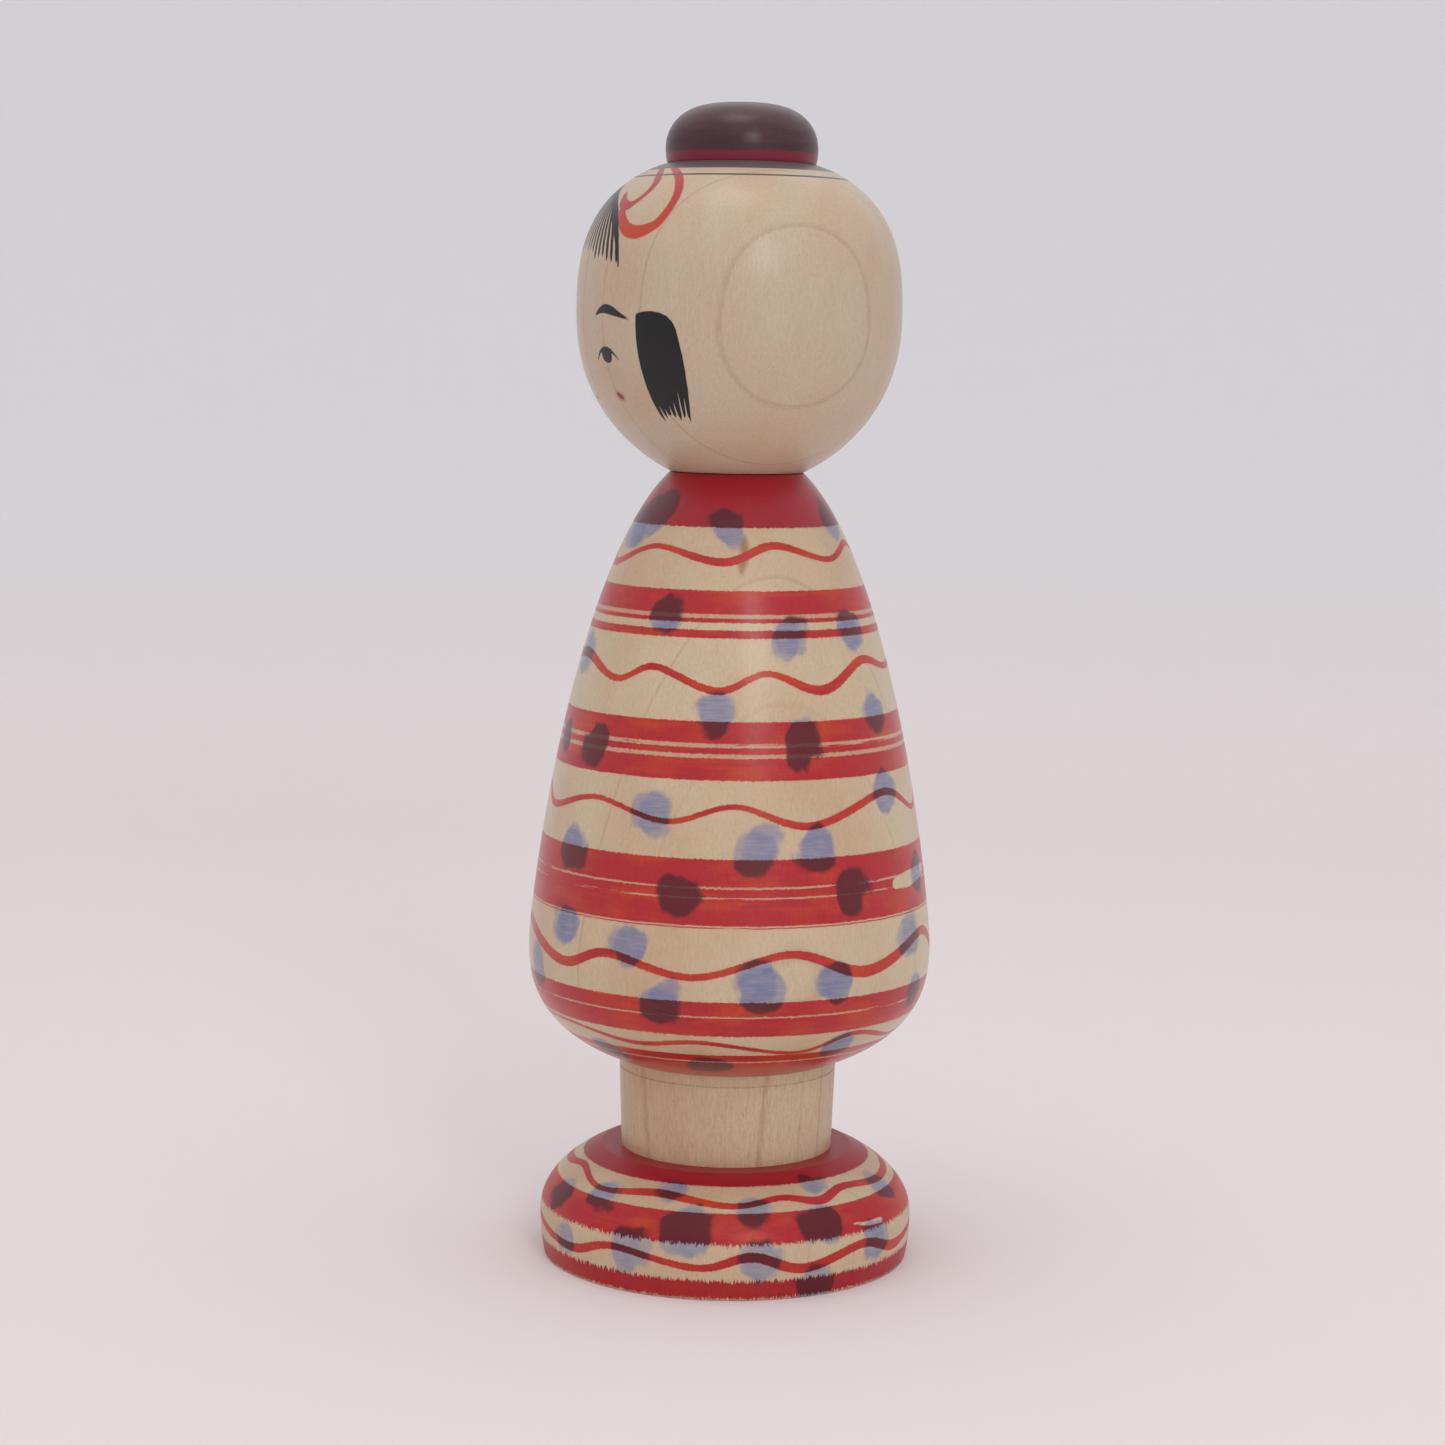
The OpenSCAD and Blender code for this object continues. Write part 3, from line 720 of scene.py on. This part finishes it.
head_wood = new_material("waxed_mizuki_with_brushed_ink_head")
tree = head_wood.node_tree
mm, colour, fibre = grown_wood(tree, (-238, -31.5), 7.2, shift=23.61, ring=(0.45, 0.20, 0.30),
                               drift_mm=0.6, pale="#CABAA0", warm="#C8AA90", lean=0.055)


def mark(tree, mm, name, soft, sway=0.0):
    """Where a stroke covers the wood, from its stored distance.

    Soft is half the width of its edge, and sway how far the edge wanders, in millimetres.
    """
    stored = put(tree, "ShaderNodeAttribute", attribute_name=name).outputs["Fac"]
    wander_at = put(tree, "ShaderNodeVectorMath", {0: mm, 1: (1.6, 1.6, 0.5)}, operation="MULTIPLY")
    wander = put(tree, "ShaderNodeTexNoise", {"Vector": wander_at, "Scale": 1.0, "Detail": 2.0})
    moved = put(tree, "ShaderNodeMath", {0: wander, 1: sway, 2: stored}, operation="MULTIPLY_ADD")
    return put(tree, "ShaderNodeMapRange", {"Value": moved, "From Min": soft, "From Max": -soft},
               interpolation_type="SMOOTHSTEP")


def over(tree, below, above, cover):
    """Lays one colour over another."""
    above = linear(above) if isinstance(above, str) else above
    return put(tree, "ShaderNodeMix", {0: cover, 6: below, 7: above}, data_type="RGBA").outputs[2]


# ribbons: crimson where the brush was full, orange where it ran thin
level = put(tree, "ShaderNodeSeparateXYZ", {0: mm}).outputs["Z"]
run_out = put(tree, "ShaderNodeMapRange", {"Value": level, "From Min": 167.0, "From Max": 160.0})
ribbon_red = over(tree, linear("#B03836"), "#BE441E", run_out)
colour = over(tree, colour, "#BE6E66", mark(tree, mm, "ribbon_wash", 0.35))
colour = over(tree, colour, ribbon_red, mark(tree, mm, "outer_loop", 0.14, 0.15))
colour = over(tree, colour, "#A8393A", mark(tree, mm, "inner_loop", 0.14, 0.15))
# fringe: strands that fan out from the crown, solid at the root and parted at the tips
strand = put(tree, "ShaderNodeAttribute", attribute_name="fringe_strand").outputs["Fac"]
above_tip = put(tree, "ShaderNodeAttribute", attribute_name="fringe_above_tip").outputs["Fac"]
strand_number = put(tree, "ShaderNodeMath", {0: strand}, operation="FLOOR")
strand_length = put(tree, "ShaderNodeTexWhiteNoise", {"W": strand_number}, noise_dimensions="1D")
reach = put(tree, "ShaderNodeMath", {0: strand_length, 1: -0.9, 2: above_tip}, operation="MULTIPLY_ADD")
# how much of a strand's room its hair fills, from its tip to 10 mm above it
along = put(tree, "ShaderNodeMath", {0: reach, 1: 10.0}, operation="DIVIDE")
fullness = put(tree, "ShaderNodeFloatCurve", {"Value": along})
for at, filled in [(0.03, 0.18), (0.12, 0.50), (0.45, 0.66)]:
    fullness.mapping.curves[0].points.new(at, filled)
fullness.mapping.curves[0].points[0].location = (0, 0.04)
fullness.mapping.update()
within = put(tree, "ShaderNodeMath", {0: strand}, operation="FRACT")
middle = put(tree, "ShaderNodeMath", {0: within, 1: 0.5}, operation="SUBTRACT")
middle = put(tree, "ShaderNodeMath", {0: middle}, operation="ABSOLUTE")
middle = put(tree, "ShaderNodeMath", {0: middle, 1: 2.0}, operation="MULTIPLY")
hair = put(tree, "ShaderNodeMath", {0: middle, 1: fullness}, operation="SUBTRACT")
hair = put(tree, "ShaderNodeMapRange", {"Value": hair, "From Min": 0.10, "From Max": -0.10})
ends = put(tree, "ShaderNodeMapRange", {"Value": reach, "From Min": -0.1, "From Max": 0.3})
hair = put(tree, "ShaderNodeMath", {0: hair, 1: ends}, operation="MULTIPLY")
wedge = mark(tree, mm, "fringe_wedge", 0.06)
hair = put(tree, "ShaderNodeMath", {0: hair, 1: wedge}, operation="MAXIMUM")
fan_edge = mark(tree, mm, "fringe_edge", 0.08)
hair = put(tree, "ShaderNodeMath", {0: hair, 1: fan_edge}, operation="MULTIPLY")
colour = over(tree, colour, "#101012", hair)
# side locks: one flat brush pulled down, whose bristles part at the end. The comb runs across the
# lock and says how far up it is parted, as a share of 5 mm.
lock_across = put(tree, "ShaderNodeAttribute", attribute_name="lock_across").outputs["Fac"]
lock_above = put(tree, "ShaderNodeAttribute", attribute_name="lock_above_tip").outputs["Fac"]
comb = put(tree, "ShaderNodeFloatCurve", {"Value": lock_across})
curve = comb.mapping.curves[0]
curve.points[0].location = (0, 0.16)
curve.points[1].location = (1, 0.0)
slit_half = 0.025
for slit, top in [(0.13, 0.48), (0.27, 0.40), (0.43, 0.50), (0.58, 0.62), (0.75, 0.95), (0.88, 0.78)]:
    curve.points.new(slit - slit_half, 0.24)
    curve.points.new(slit, top)
    curve.points.new(slit + slit_half, 0.22)
for tip, low in [(0.06, 0.0), (0.2, 0.1), (0.35, 0.2), (0.5, 0.14), (0.67, 0.04), (0.81, 0.12)]:
    curve.points.new(tip, low)
for point in curve.points:
    point.handle_type = "VECTOR"
comb.mapping.update()
parted = put(tree, "ShaderNodeMath", {0: comb, 1: 5.0}, operation="MULTIPLY")
lock = put(tree, "ShaderNodeMath", {0: lock_above, 1: parted}, operation="SUBTRACT")
lock = put(tree, "ShaderNodeMapRange", {"Value": lock, "From Min": -0.12, "From Max": 0.12})
lock_edge = mark(tree, mm, "lock_edge", 0.07)
lock = put(tree, "ShaderNodeMath", {0: lock, 1: lock_edge}, operation="MULTIPLY")
colour = over(tree, colour, "#0E0E10", lock)
# face: brow, lid and pupil in ink, then the red marks with a faint bleed round them
colour = over(tree, colour, "#151214", mark(tree, mm, "ink", 0.07))
blush = put(tree, "ShaderNodeAttribute", attribute_name="red_mark").outputs["Fac"]
halo = put(tree, "ShaderNodeMapRange", {"Value": blush, "From Min": 0.7, "From Max": 0.0, "To Max": 0.6})
colour = over(tree, colour, "#B8736A", halo)
colour = over(tree, colour, "#8E2A30", mark(tree, mm, "red_mark", 0.14))
# crown: one thin line, a bare ring, then grey-black ink held to the spinning head
crown_low, crown_high = 168.6, 172.6
line_low, line_high, ink_low = 170.08, 170.34, 171.3
crown_h = crown_high - crown_low
crown = put(tree, "ShaderNodeMapRange", {"Value": level, "From Min": crown_low, "From Max": crown_high})
rings = put(tree, "ShaderNodeValToRGB", {0: crown})
ramp = rings.color_ramp
ramp.interpolation = "CONSTANT"
ramp.elements[0].color = (0, 0, 0, 1)
ramp.elements[1].color = (0.92, 0.92, 0.92, 1)
ramp.elements[1].position = (ink_low - crown_low) / crown_h
ramp.elements.new((line_low - crown_low) / crown_h).color = (1, 1, 1, 1)
ramp.elements.new((line_high - crown_low) / crown_h).color = (0, 0, 0, 1)
colour = over(tree, colour, "#484A4F", rings)
waxed(tree, colour, fibre, mm, roughness=0.40, coat=0.65)

head = turned_piece("head_painted", head_outline, 420, 0.5, head_wood)
angle, radius, height, place = surface(head)
half = np.abs(angle)
mirrored = np.column_stack([np.abs(place[:, 0]), place[:, 1:]])
face_strokes = [brushed(mirrored, [flowing(stroke)], head_side) for stroke in (brow, lid, pupil)]
keep(head, "ink", np.minimum.reduce(face_strokes))
for name, strokes in [("red_mark", [cheek, mouth]), ("outer_loop", [outer_loop]),
                      ("inner_loop", [inner_loop]), ("ribbon_wash", [ribbon_wash])]:
    keep(head, name, brushed(mirrored, [flowing(stroke) for stroke in strokes], head_side))
arc = np.pi / 180 * radius  # millimetres to a degree
# the fringe's edge: half its angle at each height, from the tips up to the parting
parting = 169.0
side_tip = 156.1
fan_height = [155, 157, 159, 161, 163, 165, 166.6, 168, parting]
fan_half = [29.3, 28.9, 27.7, 25.9, 23, 18.5, 12.2, 5, 1]
fan = np.interp(height, fan_height, fan_half)
share = half / np.maximum(fan, 0.5)
keep(head, "fringe_edge", np.maximum((half - fan) * arc, height - parting))
# the solid wedge down each side of the fringe
wedge_w = np.interp(height, [155.5, 157, 158.5, 160.5, 163, 166], [0.15, 0.4, 0.7, 1.1, 1.9, 2.5])
keep(head, "fringe_wedge", np.maximum((fan - half) * arc - wedge_w, side_tip - height))
keep(head, "fringe_strand", np.sign(angle) * share * 10)
tip = np.interp(share, [0, 0.4, 0.6, 0.85, 1.0], [159.0, 157.4, 156.9, side_tip, side_tip])
keep(head, "fringe_above_tip", height - tip)
# the side lock's two sides at each height, its top at each angle, and the line that its tips reach
lock_height = [132, 133.5, 134.5, 136, 138, 141, 143, 145.5, 148, 150]
lock_front = np.interp(height, lock_height, [43.6, 42.4, 41.5, 40.4, 39.5, 38.6, 38.2, 37.9, 37.9, 38.2])
lock_back = np.interp(height, lock_height, [55.2, 55.8, 56.2, 56.6, 56.9, 56.6, 56.0, 54.8, 53.4, 52.8])
lock_top = np.interp(half, [37, 38.2, 41, 44.5, 47.5, 50.5, 52.7, 54, 55.5],
                     [149, 149.2, 149.5, 149.6, 149.4, 148.9, 148, 147, 145.5])
lock_tip = 133.0
sides = [(lock_front - half) * arc, (half - lock_back) * arc, height - lock_top]
keep(head, "lock_edge", np.maximum.reduce(sides))
keep(head, "lock_across", (half - lock_front) / (lock_back - lock_front))
keep(head, "lock_above_tip", height - lock_tip)
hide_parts("head")
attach(head, "head")

# ---------------------------------------------------------------------------------------------
# TOPKNOT. A flattened ball pegged into the crown, stained dark plum on the lathe with a crimson
# band at its foot, then burnished with wax until it shone.

knot_low = head_high
knot_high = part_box("topknot")[1].z / MM
knot_swell_h = 2.2
knot_tip_r = 0.6
knot_wide = [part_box("topknot")[1].x / MM, knot_low + knot_swell_h]
knot_side = np.vstack([
    turned_curve(knot_wide, [crown_r, knot_low], [2.0, 2.0], 0.25)[:0:-1],
    turned_curve(knot_wide, [knot_tip_r, knot_high], [2.1, 3.1], 0.25),
])
peg_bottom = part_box("topknot")[0].z / MM
knot_outline = eased([
    *straight((0, peg_bottom, 2), (peg, peg_bottom, 3), (peg, knot_low, 2), knot_side[0]),
    knot_side,
    *straight((*knot_side[-1], 0.3), (0, knot_high)),
], soft=0.08)
knot_stain = new_material("burnished_plum_stain_topknot")
tree = knot_stain.node_tree
mm, colour, fibre = grown_wood(tree, (-20, 30), 3.0, pale="#553239", warm="#44252D", line="#28161C")
# streaks that the spinning wood leaves in the stain
streak_at = put(tree, "ShaderNodeVectorMath", {0: mm, 1: (0.10, 0.10, 1.2)}, operation="MULTIPLY")
streak = put(tree, "ShaderNodeTexNoise",
             {"Vector": streak_at, "Scale": 1.0, "Detail": 4.0, "Roughness": 0.65})
dark_streak = put(tree, "ShaderNodeMapRange",
                  {"Value": streak, "From Min": 0.38, "From Max": 0.66, "To Max": 0.6})
colour = over(tree, colour, "#2C1E25", dark_streak)
level = put(tree, "ShaderNodeSeparateXYZ", {0: mm}).outputs["Z"]
wobble = put(tree, "ShaderNodeMath", {0: streak, 1: 0.3, 2: level}, operation="MULTIPLY_ADD")
band_top = 174.3
band_edge = 0.15
band = put(tree, "ShaderNodeMapRange",
           {"Value": wobble, "From Min": band_top + band_edge, "From Max": band_top - band_edge})
# lighter on top: partly the stain worn thinner where it was burnished longest, partly a painted sheen where
# the light from above falls
worn_and_sheen = put(tree, "ShaderNodeMapRange",
           {"Value": wobble, "From Min": 177.5, "From Max": 182.0, "To Max": 0.3})
colour = over(tree, colour, "#7C5F5A", worn_and_sheen)
colour = over(tree, colour, "#7E1832", band)
waxed(tree, colour, fibre, mm, roughness=0.40, coat=0.45)
topknot = turned_piece("topknot_stained", knot_outline, 300, 1.0, knot_stain)
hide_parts("topknot")
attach(topknot, "head")

# ---------------------------------------------------------------------------------------------
# STAGE. The doll stands in a shallow bowl of pale matt card, whose floor sweeps up into a wall all
# round, lit by the room, one tall soft lamp in front and a small one overhead. The lens is long.

# in millimetres, like every other outline
floor_reach = 450
sweep = 500
wall_top = 620
bend = np.linspace(0, math.pi / 2, 60)
bowl_profile = np.vstack([
    evenly([[0, 0], [floor_reach, 0]], 50)[:-1],
    np.column_stack([floor_reach + sweep * np.sin(bend), sweep * (1 - np.cos(bend))]),
    evenly([[floor_reach + sweep, sweep], [floor_reach + sweep, wall_top]], 40)[1:],
])
card = new_material("matt_card_backdrop")
# the card is a shade warmer on the floor, fading out by 120 mm up
card_place = put(card.node_tree, "ShaderNodeTexCoord").outputs["Object"]
card_up = put(card.node_tree, "ShaderNodeSeparateXYZ", {0: card_place}).outputs["Z"]
card_rise = put(card.node_tree, "ShaderNodeMapRange", {"Value": card_up, "From Max": 0.12},
                interpolation_type="SMOOTHSTEP")
card_tone = put(card.node_tree, "ShaderNodeMix",
                {0: card_rise, 6: linear("#EDE5E4"), 7: linear("#E5E5E7")}, data_type="RGBA")
card_shader = put(card.node_tree, "ShaderNodeBsdfPrincipled",
                  {"Base Color": card_tone.outputs[2], "Roughness": 0.9})
put(card.node_tree, "ShaderNodeOutputMaterial", {"Surface": card_shader})
bowl = turned_piece("backdrop", bowl_profile, 160, 1.0, card)
bowl.data.flip_normals()

# the camera stands 76 degrees round from the face, level with the head and tipped down a little
azimuth = math.radians(76)
sideways = Vector((math.cos(azimuth), math.sin(azimuth), 0))
towards = Vector((math.sin(azimuth), -math.cos(azimuth), 0))
camera_away = 0.503
camera_aside = -0.00163
camera_up = 0.1443
looks_down = 6.68
rolls = 0.9
lens = bpy.data.cameras.new("camera")
lens.sensor_width = 36
lens.lens = 79.7
camera = bpy.data.objects.new("camera", lens)
bpy.context.scene.collection.objects.link(camera)
camera.location = towards * camera_away + sideways * camera_aside + Vector((0, 0, camera_up))
camera.rotation_mode = "QUATERNION"
camera.rotation_quaternion = (
    Matrix.Rotation(azimuth, 3, "Z")
    @ Matrix.Rotation(math.radians(90 - looks_down), 3, "X")
    @ Matrix.Rotation(math.radians(rolls), 3, "Z")
).to_quaternion()
bpy.context.scene.camera = camera


def lamp(name, away, aside, up, wide, tall, watts, tint):
    """A soft lamp in the camera's own directions, in metres, that faces the middle of the doll."""
    light = bpy.data.lights.new(name, "AREA")
    light.shape = "RECTANGLE"
    light.size = wide
    light.size_y = tall
    light.energy = watts
    light.color = linear(tint)[:3]
    holder = bpy.data.objects.new(name, light)
    bpy.context.scene.collection.objects.link(holder)
    holder.location = towards * away + sideways * aside + Vector((0, 0, up))
    holder.rotation_mode = "QUATERNION"
    middle = Vector((0, 0, 0.09))
    holder.rotation_quaternion = (middle - holder.location).to_track_quat("-Z", "Y")


lamp("key_lamp", away=0.90, aside=0.26, up=0.37, wide=0.22, tall=0.74, watts=3.1, tint="#FFFFFF")
lamp("top_lamp", away=0.10, aside=-0.04, up=0.78, wide=0.26, tall=0.26, watts=0.60, tint="#FFF6F2")
world = bpy.data.worlds.new("room")
bpy.context.scene.world = world
world.use_nodes = True
room_light = world.node_tree.nodes["Background"]
room_light.inputs["Color"].default_value = linear("#F4F3F6")
room_light.inputs["Strength"].default_value = 0.90
bpy.context.scene.view_settings.view_transform = "Standard"
